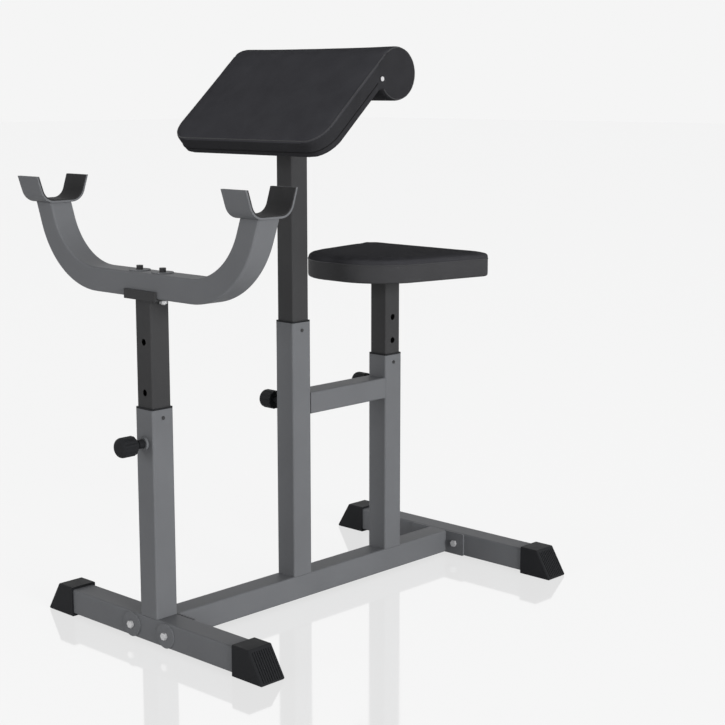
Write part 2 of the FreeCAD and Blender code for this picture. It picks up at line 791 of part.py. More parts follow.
# Hooks: a bent strip welded on each arm, open upward, with a soft liner inside
def bent_strip(label, outer, thickness, x):
    """A U-shaped strip. Its outside lies a given distance inside the hook's own outside."""
    inner = "(%s + %s)" % (outer, thickness)

    def corner(depth, high):
        lean = "hook_slope * %s" % ("hook_height" if high else depth)
        return "(hook_floor_width / 2 + %s - %s * sqrt(1 + hook_slope * hook_slope))" % (lean, depth)

    body = new_body(label)
    profile = []
    for depth, order in ((outer, 1), (inner, -1)):
        bend = "hook_bend - %s" % depth
        run = [("-" + corner(depth, True), "hook_height", "0"), ("-" + corner(depth, False), depth, bend),
               (corner(depth, False), depth, bend), (corner(depth, True), "hook_height", "0")]
        profile += run[::order]
    raise_up(body, outline(sketch_on(body, "YZ_Plane"), profile), "hook_length", symmetric=True)
    return place(body, x, "rack_y", "yoke_top")


for side, sign in SIDES:
    bent_strip(side + "_bar_hook", "0", "hook_thickness", sign + "hook_x")
    bent_strip(side + "_hook_liner", "hook_thickness", "liner_thickness", sign + "hook_x")


# Cushions: level outlines that swell at the side, then draw in over a crown to a flat top
level_shares = ((0, 0.05), (0.30, 0), (0.60, 0.01), (0.80, 0.05), (0.92, 0.16), (0.98, 0.5), (1, 1))


def cushion(label, thickness, corners_at):
    """A loft through outlines. Each level has a share of the height and a share of the crown inset."""
    body = new_body(label)
    levels = []
    for height_share, inset_share in level_shares:
        height = "soft_gap + (%s - soft_gap) * %g" % (thickness, height_share)
        inset = "crown_inset * %g" % inset_share
        levels.append(outline(sketch_on(body, "XY_Plane", z=height), corners_at(inset)))
    loft = body.newObject("PartDesign::AdditiveLoft", label + "_loft")
    loft.Profile = levels[0]
    loft.Sections = levels[1:]
    return body


# Arm pad, drawn flat with +Y up its slope and the post's axis at the origin, then tilted
def tilt(body, lift="0"):
    return place(body, "0", "pad_y - (%s) * sin(pad_tilt)" % lift, "pad_z + (%s) * cos(pad_tilt)" % lift,
                 X_AXIS, "pad_tilt")


def screw_spots(width, length, middle):
    across, along = "(%s / 2 - screw_margin)" % width, "(%s / 2 - screw_margin)" % length
    return [(sign + across, "%s + %s%s" % (middle, end, along)) for side, sign in SIDES for end in ("-", "")]


def board_plate(label, width, length, middle):
    """The steel plate under a board: its top is at the plane and the screws go up through it."""
    body = new_body(label)
    face = rectangle(sketch_on(body, "XY_Plane", y=middle), width, length, "board_plate_corner")
    raise_up(body, face, "board_plate_thickness", reverse=True)
    for x, y in screw_spots(width, length, middle):
        drill(body, "XY_Plane", "screw_diameter + 2 * screw_play", x=x, y=y)
    return body


pad_spots = screw_spots("pad_plate_width", "pad_plate_length", "pad_plate_middle")
seat_spots = screw_spots("seat_plate_width", "seat_plate_length", "0")
tilt(board_plate("pad_plate", "pad_plate_width", "pad_plate_length", "pad_plate_middle"))


def pad_corners(inset, head):
    side, low = "(pad_width / 2 - %s)" % inset, "(%s - pad_foot)" % inset
    bend = "pad_corner - %s / 2" % inset
    return [("-" + side, low, bend), (side, low, bend), (side, head, "0"), ("-" + side, head, "0")]


pad_board = new_body("pad_board")
raise_up(pad_board, outline(sketch_on(pad_board, "XY_Plane"), pad_corners("soft_gap", "pad_board_head")),
         "pad_board_thickness")
for x, y in pad_spots:
    drill(pad_board, "XY_Plane", "screw_diameter", x=x, y=y, depth="screw_bite", reverse=True)
tilt(pad_board)

pad_cushion = cushion("pad_cushion", "pad_cushion_thickness", lambda inset: pad_corners(
    inset, "roll_rise"))
roll_middle = "(-pad_board_thickness - roll_drop)"
roll_profile = outline(sketch_on(pad_cushion, "XY_Plane", y="roll_rise", z=roll_middle), [
    ("-roll_half", "0", "0"), ("-roll_half", "roll_radius", "roll_edge"),
    ("roll_half", "roll_radius", "roll_edge"), ("roll_half", "0", "0")])
roll = pad_cushion.newObject("PartDesign::Revolution", "pad_roll")
roll.Profile = roll_profile
roll.ReferenceAxis = (roll_profile, ["H_Axis"])
roll.Angle = 360
vent_y, vent_z = "roll_rise - vent_back", "(%s + vent_up)" % roll_middle
vent_hole = drill(pad_cushion, "YZ_Plane", "vent_bore + 2 * soft_gap", x=vent_y, y=vent_z,
                  z="roll_half", depth="vent_depth + soft_gap")
mirror(pad_cushion, [vent_hole], "YZ_Plane")
tilt(pad_cushion, "pad_board_thickness")


# Air vents: an eyelet in each end of the roll
def vent(side, sign):
    name = side + "_vent"
    flange = cylinder(name + "_flange", "vent_diameter", "vent_flange")
    barrel = cylinder(name + "_barrel", "vent_bore", "vent_depth", "-vent_depth")
    along, across = "(roll_rise - vent_back)", "(vent_up - roll_drop)"
    return place(joined("Fuse", name, flange, barrel), sign + "(roll_half + soft_gap)",
                 "pad_y + %s * cos(pad_tilt) - %s * sin(pad_tilt)" % (along, across),
                 "pad_z + %s * sin(pad_tilt) + %s * cos(pad_tilt)" % (along, across), Y_AXIS, sign + "90")


group("pad_vents", [vent(side, sign) for side, sign in SIDES])


def screw_on_pad(index, x, y):
    drop = "board_plate_thickness"
    return place(wood_screw("pad_screw_%d" % index), x,
                 "pad_y + (%s) * cos(pad_tilt) + %s * sin(pad_tilt)" % (y, drop),
                 "pad_z + (%s) * sin(pad_tilt) - %s * cos(pad_tilt)" % (y, drop), X_AXIS, "180 + pad_tilt")


group("pad_screws", [screw_on_pad(index, x, y) for index, (x, y) in enumerate(pad_spots)])


# Seat: narrow and round in front, wide and straight behind
def seat_corners(inset):
    nose, tail = "(%s - seat_nose)" % inset, "(seat_tail_reach - %s)" % inset
    front, rear = "(seat_nose_width / 2 - %s)" % inset, "(seat_rear_width / 2 - %s)" % inset
    front_bend, rear_bend = "seat_nose_round - %s" % inset, "seat_rear_round + %s / 4" % inset
    return [("-" + front, nose, front_bend), (front, nose, front_bend),
            (rear, tail, rear_bend), ("-" + rear, tail, rear_bend)]


place(board_plate("seat_plate", "seat_plate_width", "seat_plate_length", "0"),
      "0", "seat_y", "seat_underside")
seat_board = new_body("seat_board")
raise_up(seat_board, outline(sketch_on(seat_board, "XY_Plane"), seat_corners("seat_board_inset")),
         "seat_board_thickness")
for x, y in seat_spots:
    drill(seat_board, "XY_Plane", "screw_diameter", x=x, y=y, depth="screw_bite", reverse=True)
place(seat_board, "0", "seat_y", "seat_underside")
place(cushion("seat_cushion", "seat_cushion_thickness", seat_corners),
      "0", "seat_y", "seat_underside + seat_board_thickness")


def screw_on_seat(index, x, y):
    screw = wood_screw("seat_screw_%d" % index)
    return place(screw, x, "seat_y + (%s)" % y, "seat_plate_z", X_AXIS, "180")


group("seat_screws", [screw_on_seat(index, x, y) for index, (x, y) in enumerate(seat_spots)])

# Every object must be sound before anything is written
doc.recompute()
for item in doc.Objects:
    faults = [state for state in item.State if state in ("Invalid", "Error")]
    if faults:
        raise RuntimeError("%s is %s" % (item.Label, faults))
for node in nodes:
    if node.Shape.isNull() or not node.Shape.isValid():
        raise RuntimeError("bad shape: " + node.Label)

os.makedirs("parts", exist_ok=True)
for node in nodes:
    node.Shape.exportStep("parts/%s.step" % node.Label)
print(len(nodes), "pieces written")
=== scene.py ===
# %% [markdown]
# # A preacher curl bench, dressed for its picture
# The bench stands on two square feet joined by a beam. Three posts rise from the base: one carries a bar
# rack, one a sloping arm pad and one a seat. The steel pieces come from the CAD model as they are, and
# get painted here. The pad and the seat are soft, so they are made again as filled covers. Last come the
# floor, the lamps and the camera.

# %% Load the bench as a fixed frame
import json
import math

import bmesh
import bpy
from mathutils import Matrix, Vector


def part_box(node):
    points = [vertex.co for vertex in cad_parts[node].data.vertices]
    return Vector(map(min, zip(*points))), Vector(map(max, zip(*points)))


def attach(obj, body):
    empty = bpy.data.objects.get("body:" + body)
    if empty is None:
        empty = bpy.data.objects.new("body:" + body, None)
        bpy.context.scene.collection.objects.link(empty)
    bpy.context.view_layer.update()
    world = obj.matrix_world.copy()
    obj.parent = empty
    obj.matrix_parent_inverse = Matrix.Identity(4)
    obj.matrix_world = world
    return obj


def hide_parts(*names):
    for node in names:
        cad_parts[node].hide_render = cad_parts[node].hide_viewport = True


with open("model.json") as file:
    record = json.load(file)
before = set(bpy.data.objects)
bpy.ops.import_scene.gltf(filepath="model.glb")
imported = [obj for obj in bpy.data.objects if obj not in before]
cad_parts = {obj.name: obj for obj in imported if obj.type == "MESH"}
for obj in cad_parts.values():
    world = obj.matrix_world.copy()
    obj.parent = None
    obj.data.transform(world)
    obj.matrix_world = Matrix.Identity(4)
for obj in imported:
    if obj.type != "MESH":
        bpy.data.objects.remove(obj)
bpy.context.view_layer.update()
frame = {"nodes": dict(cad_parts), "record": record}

# %% [markdown]
# ## A short way to write materials
# A material is a net of nodes, and a net is tedious to write link by link. Two small classes help. Value
# stands for one socket, and sums on it add Math nodes, so a line such as `1 - mask` is enough. Finish
# holds the net of one material, and its method `node` makes any other node: its settings first, then its
# sockets, as numbers or as links.

# %% Value and Finish
class Value:
    """One socket of a material. Sums on it add Math nodes."""

    def __init__(self, finish, socket):
        self.finish = finish
        self.socket = socket

    def maths(self, operation, first, second):
        return self.finish.node("ShaderNodeMath", {"operation": operation}, {0: first, 1: second})

    def __add__(self, other):
        return self.maths("ADD", self, other)

    def __sub__(self, other):
        return self.maths("SUBTRACT", self, other)

    def __rsub__(self, other):
        return self.maths("SUBTRACT", other, self)

    def __mul__(self, other):
        return self.maths("MULTIPLY", self, other)

    def __gt__(self, other):
        return self.maths("GREATER_THAN", self, other)

    __radd__ = __add__
    __rmul__ = __mul__


class Finish:
    """The net of nodes of one material or of the world."""

    def __init__(self, owner):
        owner.use_nodes = True
        self.owner = owner
        self.tree = owner.node_tree
        self.tree.nodes.clear()

    def node(self, kind, settings, sockets, output=0):
        made = self.tree.nodes.new(kind)
        for name, value in settings.items():
            setattr(made, name, value)
        for name, value in sockets.items():
            if isinstance(value, Value):
                self.tree.links.new(value.socket, made.inputs[name])
            else:
                made.inputs[name].default_value = value
        return Value(self, made.outputs[output]) if made.outputs else None

    def place(self):
        return self.node("ShaderNodeTexCoord", {}, {}, output="Object")

    def blotches(self, size, detail=3.0):
        """Soft noise whose spots are about this many metres across."""
        return self.node("ShaderNodeTexNoise", {},
                         {"Vector": self.place(), "Scale": 1 / size, "Detail": detail})

    def pores(self, size):
        """Small cells, as in grained vinyl: 0 in the creases, more inside each cell."""
        return self.node("ShaderNodeTexVoronoi", {"feature": "DISTANCE_TO_EDGE"},
                         {"Vector": self.place(), "Scale": 1 / size})

    def tint(self, mask, first, second):
        """One colour where the mask is 0, the other where it is 1. Each is three numbers or a Value."""
        pair = [color if isinstance(color, Value) else (*color, 1) for color in (first, second)]
        return self.node("ShaderNodeMix", {"data_type": "RGBA"}, {0: mask, 6: pair[0], 7: pair[1]}, output=2)

    def rounded(self, radius):
        """The normal of a surface whose sharp edges look rounded."""
        return self.node("ShaderNodeBevel", {"samples": 4}, {"Radius": radius})

    def edges(self, rounded):
        """More than 0 close to a sharp edge, where the rounded normal and the true one part."""
        true_normal = self.node("ShaderNodeNewGeometry", {}, {}, output="Normal")
        likeness = self.node("ShaderNodeVectorMath", {"operation": "DOT_PRODUCT"},
                             {0: rounded, 1: true_normal}, output="Value")
        return 1 - likeness

    def surface(self, sockets, height, depth, rounded):
        """A Principled surface with a bump of this depth on top of the rounded normal."""
        bump = self.node("ShaderNodeBump", {}, {"Distance": depth, "Height": height, "Normal": rounded})
        shader = self.node("ShaderNodeBsdfPrincipled", {}, {**sockets, "Normal": bump})
        self.node("ShaderNodeOutputMaterial", {}, {"Surface": shader})
        return self.owner


print("material helpers ready")

# %% [markdown]
# ## Powder coat
# The frame is grey and the sliding posts are nearly black. Both are powder coat: pigment that is melted
# onto the steel. It is even, but never quite smooth. Faint clouds change its tone and a fine orange peel
# breaks up the light. Sharp edges are a little lighter: partly because the melted powder draws back there,
# and partly as a painted highlight. Two sizes of noise and an edge mask give all three, so one recipe
# serves for the two paints.

# %% Grey and dark powder coat
def powder_coat(name, dark, light, thin_paint_and_highlight, gloss):
    finish = Finish(bpy.data.materials.new(name))
    clouds = finish.blotches(size=0.11, detail=4)
    peel = finish.blotches(size=0.0018, detail=2)
    rounded = finish.rounded(radius=0.0007)
    paint = finish.tint(clouds * 0.65 + peel * 0.35, dark, light)
    # Sharp edges get the lighter colour: partly thin paint, and partly a painted highlight.
    color = finish.tint(finish.edges(rounded) * 1.8, paint, thin_paint_and_highlight)
    return finish.surface({"Base Color": color, "Roughness": clouds * 0.14 + 0.44,
                           "Specular IOR Level": gloss}, height=peel, depth=0.00012, rounded=rounded)


grey_coat = powder_coat("grey_powder_coat", dark=(0.087, 0.0895, 0.0945), light=(0.128, 0.132, 0.139),
                        thin_paint_and_highlight=(0.19, 0.19, 0.20), gloss=0.22)
dark_coat = powder_coat("dark_powder_coat", dark=(0.028, 0.028, 0.029), light=(0.047, 0.047, 0.048),
                        thin_paint_and_highlight=(0.07, 0.07, 0.07), gloss=0.10)
print("powder coats:", grey_coat.name, dark_coat.name)

# %% [markdown]
# ## Moulded plastic
# Foot caps, bushes, glides and knobs are moulded in black plastic. A mould for such pieces is often spark
# eroded, which leaves a fine grain and a dull shine. The grain is fine noise, and larger noise varies the
# shine a little, as hands and handling do. Every sharp edge is slightly grey, as a painted highlight.

# %% Black plastic
def moulded_plastic(name):
    finish = Finish(bpy.data.materials.new(name))
    grain = finish.blotches(size=0.0007, detail=2)
    handling = finish.blotches(size=0.03, detail=3)
    rounded = finish.rounded(radius=0.0006)
    dark, light, painted_edge_highlight = (0.0080, 0.0085, 0.0095), (0.017, 0.0175, 0.019), (0.05, 0.05, 0.052)
    black = finish.tint(grain * 0.5 + handling * 0.5, dark, light)
    # Every sharp edge gets the grey colour: a painted highlight.
    color = finish.tint(finish.edges(rounded) * 1.5, black, painted_edge_highlight)
    return finish.surface({"Base Color": color, "Roughness": handling * 0.2 + 0.45,
                           "Specular IOR Level": 0.12}, height=grain, depth=0.00008, rounded=rounded)


black_plastic = moulded_plastic("black_moulded_plastic")
print("plastic:", black_plastic.name)

# %% [markdown]
# ## Zinc
# Bolts, nuts, screws and vents are zinc plated: a bright metal under a milky bloom. The bloom scatters
# light like paint, so the shader is only partly metal, and its roughness changes with the bloom.

# %% Zinc plate
bloom_size = 0.004
bloom_depth = 0.00005
thread_edge = 0.0004


def zinc_plate(name):
    finish = Finish(bpy.data.materials.new(name))
    bloom = finish.blotches(bloom_size, detail=4)
    color = finish.tint(bloom, (0.50, 0.50, 0.51), (0.72, 0.72, 0.72))
    return finish.surface({"Base Color": color, "Metallic": 0.55, "Roughness": bloom * 0.25 + 0.26},
                          height=bloom, depth=bloom_depth, rounded=finish.rounded(thread_edge))


zinc = zinc_plate("zinc_plate")
print("zinc:", zinc.name)

# %% [markdown]
# ## Vinyl
# The covers are black vinyl with a leather grain. The grain is made of cells about two millimetres
# across, with low creases between them. Wider noise gives the slow waves of a cover that is stretched
# over foam. The same recipe runs with several tones, and most of them paint light and shade on the one
# vinyl: the pad's top is lighter, a painted light, while the pad's sides and the seat's top are darker, a
# painted shade. The top panels hardly shine and the seat's side band shines a little. The sheet underneath
# is the darkest, and it also makes a dark welt that paints a shadow line along the pad's board. The other
# welts, which are pulled tight, shine most.

# %% Vinyl covers
grain_cell = 0.0021
cover_wave = 0.05
grain_depth = 0.0005
soft_edge = 0.0006


def vinyl(name, dark, light, gloss, rough):
    finish = Finish(bpy.data.materials.new(name))
    cells = finish.pores(grain_cell)
    waves = finish.blotches(cover_wave, detail=4)
    height = cells + waves * 2.5
    return finish.surface({"Base Color": finish.tint(waves * 0.7 + cells * 0.6, dark, light),
                           "Roughness": waves * 0.16 + rough, "Specular IOR Level": gloss},
                          height, grain_depth, finish.rounded(soft_edge))


# One vinyl in lit and shaded copies: the pad's top is lighter, a painted light; the pad's sides and the
# seat's top are darker, a painted shade.
pad_top_painted_light_vinyl = vinyl("pad_top_painted_light_vinyl", (0.031, 0.031, 0.0345), (0.056, 0.056, 0.062), 0.004, 0.62)
pad_side_painted_shade_vinyl = vinyl("pad_side_painted_shade_vinyl", (0.017, 0.017, 0.0185), (0.031, 0.031, 0.0335), 0.02, 0.58)
seat_top_painted_shade_vinyl = vinyl("seat_top_painted_shade_vinyl", (0.024, 0.024, 0.0265), (0.043, 0.043, 0.047), 0.004, 0.62)
seat_side_vinyl = vinyl("seat_side_vinyl", (0.027, 0.027, 0.0285), (0.048, 0.048, 0.050), 0.12, 0.48)
underside_and_shadow_vinyl = vinyl("backing_and_shadow_line_vinyl", (0.009, 0.009, 0.0095), (0.017, 0.017, 0.0175), 0.03, 0.60)
welt_vinyl = vinyl("welt_vinyl", (0.030, 0.030, 0.032), (0.048, 0.048, 0.050), 0.25, 0.40)
pad_sheets = [pad_top_painted_light_vinyl, pad_side_painted_shade_vinyl, underside_and_shadow_vinyl]
seat_sheets = [seat_top_painted_shade_vinyl, seat_side_vinyl, underside_and_shadow_vinyl]
top_sheet, side_sheet, under_sheet = range(3)
print("vinyl:", [sheet.name for sheet in pad_sheets + seat_sheets])

# %% [markdown]
# ## Rubber and capped bolts
# The hooks are lined with matt rubber so that a bar lands quietly. The bolts of the rack are plated too,
# but their heads on top are blackened. Height alone tells head from thread, so a mask above the yoke
# picks the colour.

# %% Liner rubber and bolts with black heads
def liner_rubber(name):
    finish = Finish(bpy.data.materials.new(name))
    dust = finish.blotches(size=0.012, detail=5)
    color = finish.tint(dust, (0.014, 0.014, 0.0145), (0.030, 0.030, 0.031))
    return finish.surface({"Base Color": color, "Roughness": dust * 0.2 + 0.62, "Specular IOR Level": 0.2},
                          height=dust, depth=0.0001, rounded=finish.rounded(soft_edge))


def black_headed_bolt(name, head_bottom):
    finish = Finish(bpy.data.materials.new(name))
    bloom = finish.blotches(bloom_size, detail=4)
    height = finish.node("ShaderNodeSeparateXYZ", {}, {"Vector": finish.place()}, output="Z")
    head = height > head_bottom
    metal = finish.tint(bloom, (0.44, 0.44, 0.45), (0.64, 0.64, 0.64))
    return finish.surface({"Base Color": finish.tint(head, metal, (0.015, 0.015, 0.016)),
                           "Metallic": 1 - head, "Roughness": bloom * 0.2 + 0.32},
                          height=bloom, depth=bloom_depth, rounded=finish.rounded(thread_edge))


rubber = liner_rubber("liner_rubber")
bolt_head = 0.0075
yoke_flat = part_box("yoke_bolts")[1][2] - bolt_head
rack_bolts = black_headed_bolt("black_headed_bolt", yoke_flat)
print("rubber:", rubber.name, "- bolt heads are black above", round(yoke_flat, 4), "m")

# %% [markdown]
# ## Painting the CAD pieces
# The record says which slot each piece belongs to, so most pieces get their finish from one table. A few
# pieces differ from the rest of their slot and have a table of their own.

# %% Finishes by slot, then by piece
slot_finishes = {"frame_paint": grey_coat, "dark_paint": dark_coat, "black_plastic": black_plastic,
                 "zinc": zinc, "vinyl": pad_top_painted_light_vinyl, "board": underside_and_shadow_vinyl, "liner_rubber": rubber}
piece_finishes = {"yoke_bolts": rack_bolts, "bush_screws": dark_coat}

for subpart in frame["record"]["subparts"]:
    name = subpart["node"]
    finish = piece_finishes.get(name, slot_finishes[subpart["material_slot"]])
    for material_slot in frame["nodes"][name].material_slots:
        material_slot.material = finish

# %% [markdown]
# ## From a block to a filled cover
# A cushion is foam under a sewn cover. The foam pushes out, and the seams hold the cover in. A sculpted
# block would look stiff, so the cover is simulated. It starts as a block that is a little too small, with
# rounded corners and a narrow fold where the panels meet. The block is remeshed in even squares and blown
# up as cloth with pressure inside. Points on a fold are pinned, so the panels swell between the seams.
# The foam is firm: the further a point would move, the more it is held back. At the end the skin is
# evened out and subdivided once.

# %% Blocks with rounded edges
def block(low, high, front_share):
    """A block between two corners. Its front is narrowed to a share of its width."""
    shape = bmesh.new()
    bmesh.ops.create_cube(shape, size=1)
    front = [vert for vert in shape.verts if vert.co[1] < 0]
    bmesh.ops.scale(shape, verts=front, vec=(front_share, 1, 1))
    bmesh.ops.scale(shape, verts=shape.verts, vec=Vector(high) - Vector(low))
    bmesh.ops.translate(shape, verts=shape.verts, vec=(Vector(low) + Vector(high)) / 2)
    return shape


def round_off(shape, reach, steps, wanted):
    """Bevels the edges that are wanted, judged by their middle and their direction."""
    chosen = []
    for edge in shape.edges:
        first, second = edge.verts[0].co, edge.verts[1].co
        if wanted((first + second) / 2, (second - first).normalized()):
            chosen.append(edge)
    bmesh.ops.bevel(shape, geom=chosen, offset=reach, affect="EDGES", segments=steps, profile=0.5,
                    material=-1)


hair = 0.0001
nearly_all = 0.9


def upright(direction):
    return abs(direction[2]) > nearly_all


def along_top(height):
    """Wants the edges that lie on a flat top at this height."""
    return lambda middle, direction: middle[2] > height - hair


def along_bottom(height):
    """Wants the edges that lie on a flat bottom at this height."""
    return lambda middle, direction: middle[2] < height + hair


print("block helpers ready")

# %% Covers filled by simulation
def keep_shown(piece):
    """Makes what the modifiers show the piece's own mesh."""
    shown = piece.evaluated_get(bpy.context.evaluated_depsgraph_get())
    mesh = bpy.data.meshes.new_from_object(shown)
    piece.modifiers.clear()
    piece.data = mesh


def even_skin(name, shapes, square):
    """One skin of even squares round all the shapes together."""
    joined = bmesh.new()
    for shape in shapes:
        part = bpy.data.meshes.new(name + "_start")
        shape.to_mesh(part)
        shape.free()
        joined.from_mesh(part)
    piece = bpy.data.objects.new(name, bpy.data.meshes.new(name))
    joined.to_mesh(piece.data)
    joined.free()
    bpy.context.scene.collection.objects.link(piece)
    remesh = piece.modifiers.new("even_squares", "REMESH")
    remesh.mode = "VOXEL"
    remesh.voxel_size = square
    keep_shown(piece)
    return piece


air_pressure = 4
filling_frames = 20


def blow_up(piece, sewn, furthest):
    """Swells a cover. Sewn points stay, and the others come close to the furthest distance at most."""
    start = [vert.co.copy() for vert in piece.data.vertices]
    pinned = [vert.index for vert in piece.data.vertices if sewn(vert.co, vert.normal)]
    piece.vertex_groups.new(name="sewn").add(pinned, 1.0, "REPLACE")
    cloth = piece.modifiers.new("filling", "CLOTH")
    cloth.settings.vertex_group_mass = "sewn"
    cloth.settings.use_pressure = True
    cloth.settings.uniform_pressure_force = air_pressure
    cloth.settings.effector_weights.gravity = 0
    for step in range(1, filling_frames + 1):
        bpy.context.scene.frame_set(step)
    keep_shown(piece)
    for vert, co in zip(piece.data.vertices, start):
        moved = vert.co - co
        vert.co = co + moved * (furthest / (furthest + moved.length))
    bpy.context.scene.frame_set(1)
    return len(pinned)


def smooth_cover(piece, finishes):
    """Evens out the squares, subdivides the skin and gives it its finishes."""
    evener = piece.modifiers.new("evener", "SMOOTH")
    evener.factor = 0.5
    evener.iterations = 3
    smoother = piece.modifiers.new("smoother", "SUBSURF")
    smoother.levels = 1
    smoother.render_levels = 1
    keep_shown(piece)
    piece.data.materials.clear()
    for finish in finishes:
        piece.data.materials.append(finish)
    for polygon in piece.data.polygons:
        polygon.use_smooth = True


print("cover helpers ready")

# %% [markdown]
# ## The arm pad's cover
# The pad is a slab with a roll along its upper edge, and it slopes. Its cover goes round the foam and the
# board. It is easiest to build level, with the middle of the roll as the origin: y runs up the slope and
# z out of it. The top panel runs straight onto the roll, so the top of the slab lies about as high as the
# crest of the roll. After the welts are sewn on, one matrix tilts the pad and puts it in its place.

# %% Slab and roll
pad_side, roll_back, roll_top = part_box("pad_cushion")[1]
roll_radius = 0.050
pad_slope = math.radians(42)
roll_middle = Vector((0, roll_back - roll_radius, roll_top - roll_radius))
onto_slope = Matrix.Translation(roll_middle) @ Matrix.Rotation(pad_slope, 4, "X")

# The cover starts smaller than the pad by the slack, so that it has room to swell.
slack = 0.001
slab_length = 0.245
slab_foot = slack - slab_length
slab_underside = 0.0088
slab_seam = 0.0235
slab_top = 0.0505
plump = 0.0015
slab_side = pad_side - slack
roll_begins = -0.035
foot_corner = 0.047
top_fold = 0.004
under_fold = 0.003
roll_fold = 0.005
pad_square = 0.004

slab = block((-slab_side, slab_foot, slab_underside), (slab_side, 0, slab_top), 1.0)
round_off(slab, foot_corner, steps=8,
          wanted=lambda middle, direction: upright(direction) and middle[1] < roll_begins)
round_off(slab, top_fold, steps=2, wanted=along_top(slab_top))
round_off(slab, under_fold, steps=2, wanted=along_bottom(slab_underside))

roll = bmesh.new()
bmesh.ops.create_cone(roll, cap_ends=True, segments=64, radius1=roll_radius + plump,
                      radius2=roll_radius + plump, depth=2 * slab_side,
                      matrix=Matrix.Rotation(math.radians(90), 4, "Y"))
round_off(roll, roll_fold, steps=3, wanted=lambda middle, direction: abs(direction[0]) < 1 - nearly_all)
pad_cover = even_skin("pad_cover", [slab, roll], pad_square)
print("pad skin:", len(pad_cover.data.vertices), "points")

# %% [markdown]
# The underside is stapled to the board, so it is pinned flat. A fold is known by its normals, which point
# neither straight out of a panel nor straight to its side. A second seam runs round the sides, where the
# foam meets the board. The underside has a duller sheet. No point goes past the sides of the CAD pad, so
# the vents still sit on the cover.

# %% Fill the pad
folds = (0.30, 0.94)
seam_half_width = 0.0022
stapled_strip = 0.002
pad_swell = 0.0035
facing_sideways = 0.7
facing_up = 0.5
facing_down = -0.7


def pad_is_sewn(point, normal):
    if point[1] > roll_begins:
        return folds[0] < abs(normal[0]) < folds[1]
    stapled = point[2] < slab_underside + stapled_strip
    sewn = abs(point[2] - slab_seam) < seam_half_width
    return stapled or sewn or folds[0] < normal[2] < folds[1]


print("pad points sewn down:", blow_up(pad_cover, pad_is_sewn, pad_swell))
for vert in pad_cover.data.vertices:
    vert.co[0] = max(-pad_side, min(pad_side, vert.co[0]))
smooth_cover(pad_cover, pad_sheets)
# The top and the roll get the lighter copy of the vinyl, painted light, and the sides the darker copy,
# painted shade.
for polygon in pad_cover.data.polygons:
    round_the_roll = polygon.center[1] > roll_begins and abs(polygon.normal[0]) < facing_sideways
    on_top = round_the_roll or polygon.normal[2] > facing_up
    polygon.material_index = top_sheet if on_top else side_sheet
    if polygon.normal[2] < facing_down and polygon.center[1] < -roll_radius:
        polygon.material_index = under_sheet
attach(pad_cover, "arm_pad")
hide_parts("pad_cushion", "pad_board")
print("pad cover faces:", len(pad_cover.data.polygons))

# %% [markdown]
# ## The seat's cover
# The seat lies level: narrow and round in front, wide and straight behind. Its cover goes round the foam
# and the edge of the board too. One seam joins the side band to the top panel, a little below the rounded
# top edge.

# %% Seat block
seat_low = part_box("seat_board")[0]
seat_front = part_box("seat_cushion")[0][1]
seat_half, seat_back, seat_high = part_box("seat_cushion")[1]
nose_width = 0.249
rear_width = 0.366
room_below = 0.0003
room_above = 0.003
seat_underside = seat_low[2] + room_below
seat_top = seat_high - room_above
seat_seam = 0.688
seat_waist = (seat_front + seat_back) / 2
nose_corner = 0.094
rear_corner = 0.019
rim_fold = 0.005
seat_square = 0.0032

seat_block = block((-seat_half, seat_front, seat_underside), (seat_half, seat_back, seat_top),
                   nose_width / rear_width)
round_off(seat_block, nose_corner, steps=12,
          wanted=lambda middle, direction: upright(direction) and middle[1] < seat_waist)
round_off(seat_block, rear_corner, steps=5,
          wanted=lambda middle, direction: upright(direction) and middle[1] > seat_waist)
round_off(seat_block, rim_fold, steps=3, wanted=along_top(seat_top))
round_off(seat_block, under_fold, steps=2, wanted=along_bottom(seat_underside))
seat_cover = even_skin("seat_cover", [seat_block], seat_square)
print("seat skin:", len(seat_cover.data.vertices), "points")

# %% Fill the seat
seat_swell = 0.004
facing_straight_down = -0.9


def seat_is_sewn(point, normal):
    stapled = point[2] < seat_underside + stapled_strip
    return stapled or abs(point[2] - seat_seam) < seam_half_width


print("seat points sewn down:", blow_up(seat_cover, seat_is_sewn, seat_swell))
smooth_cover(seat_cover, seat_sheets)
# The seat's top gets a copy of the vinyl a little darker than the side band's: painted shade.
for polygon in seat_cover.data.polygons:
    polygon.material_index = top_sheet if polygon.center[2] > seat_seam else side_sheet
    if polygon.normal[2] < facing_straight_down:
        polygon.material_index = under_sheet
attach(seat_cover, "seat")
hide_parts("seat_cushion", "seat_board")
print("seat cover faces:", len(seat_cover.data.polygons))

# %% [markdown]
# ## Welts
# Where two panels are sewn together, the folded edges make a thin raised line, a welt. It has to follow
# the swollen cover exactly, so the cover itself gives the line: a plane cuts a copy of the skin, and only
# the cut edges stay. They become a curve with a round section, and the curve becomes a mesh. The seam
# along the pad's board is as dark as the sheet underneath: a painted shadow line where the foam meets the
# board.

# %% Lines on the covers
line_smoothing = 4
welt_radius = 0.0011


def cut_line(cover, through, across, wanted):
    """The edges where a plane cuts the cover, as far as they are wanted."""
    skin = bmesh.new()
    skin.from_mesh(cover.data)
    bmesh.ops.bisect_plane(skin, geom=skin.verts[:] + skin.edges[:] + skin.faces[:], dist=0.000001,
                           plane_co=through, plane_no=across, clear_outer=True, clear_inner=True)
    unwanted = [vert for vert in skin.verts if not wanted(vert.co)]
    bmesh.ops.delete(skin, geom=unwanted, context="VERTS")
    for turn in range(line_smoothing):
        bmesh.ops.smooth_vert(skin, verts=skin.verts, factor=0.5,
                              use_axis_x=True, use_axis_y=True, use_axis_z=True)
    line = bpy.data.meshes.new("welt_line")
    skin.to_mesh(line)
    skin.free()
    return line


